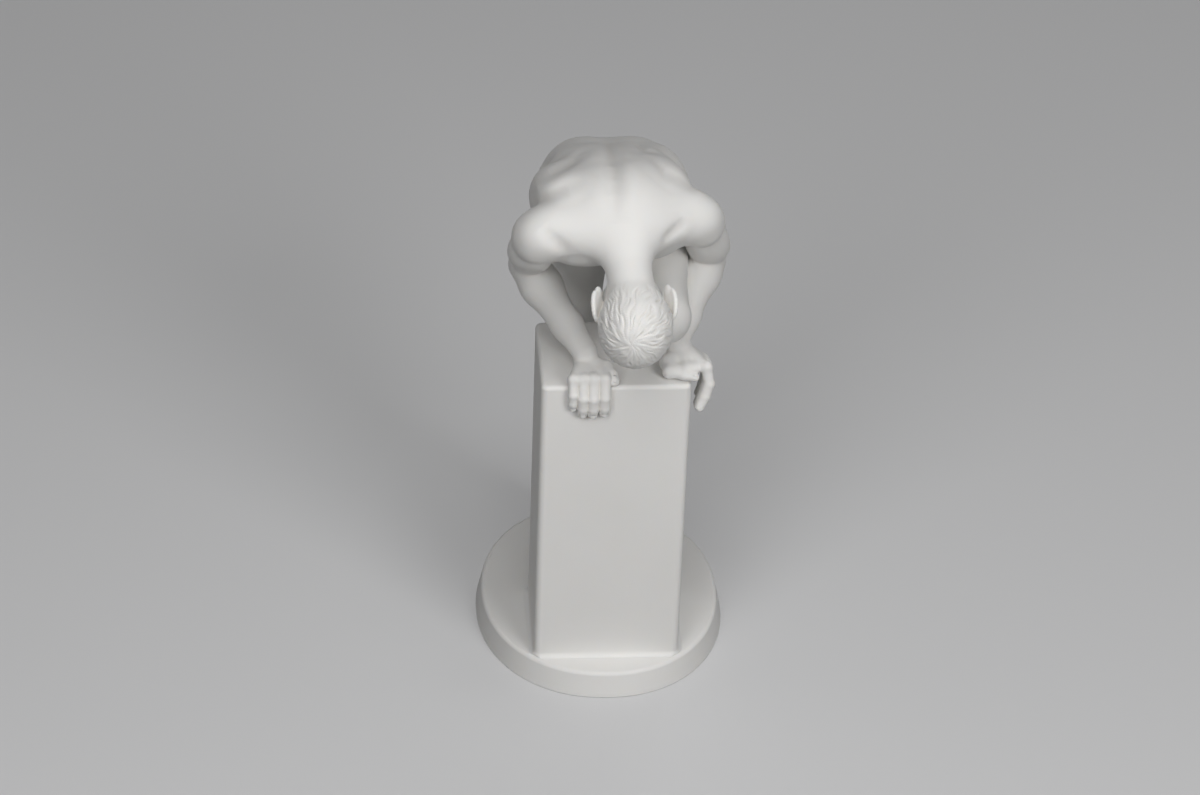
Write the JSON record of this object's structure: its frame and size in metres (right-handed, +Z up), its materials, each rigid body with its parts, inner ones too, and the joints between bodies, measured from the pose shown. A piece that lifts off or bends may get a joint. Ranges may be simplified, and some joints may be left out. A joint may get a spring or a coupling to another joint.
{
  "type": "male figure sculpture",
  "caption": "Unglazed white porcelain figurine: a bowed nude male figure leans over a tall rectangular plinth on an oval base, with a knee drawn up.",
  "frame": {"origin": "middle of the base's flat underside", "axes": "+Z up; -Y towards the viewer, the side that the plinth's broad front face looks to; +X to the viewer's right, which is the figure's left"},
  "size_m": [0.1122, 0.1601, 0.2543],
  "materials": {
    "bisque_porcelain": "unglazed, fine matt, warm white"
  },
  "bodies": {
    "root": {"base": "bisque_porcelain", "plinth": "bisque_porcelain", "torso": "bisque_porcelain", "head": "bisque_porcelain", "right_arm": "bisque_porcelain", "left_arm": "bisque_porcelain", "right_hand": "bisque_porcelain", "left_hand": "bisque_porcelain", "right_leg": "bisque_porcelain", "left_leg": "bisque_porcelain", "right_foot": "bisque_porcelain", "left_foot": "bisque_porcelain"}
  },
  "joints": []
}
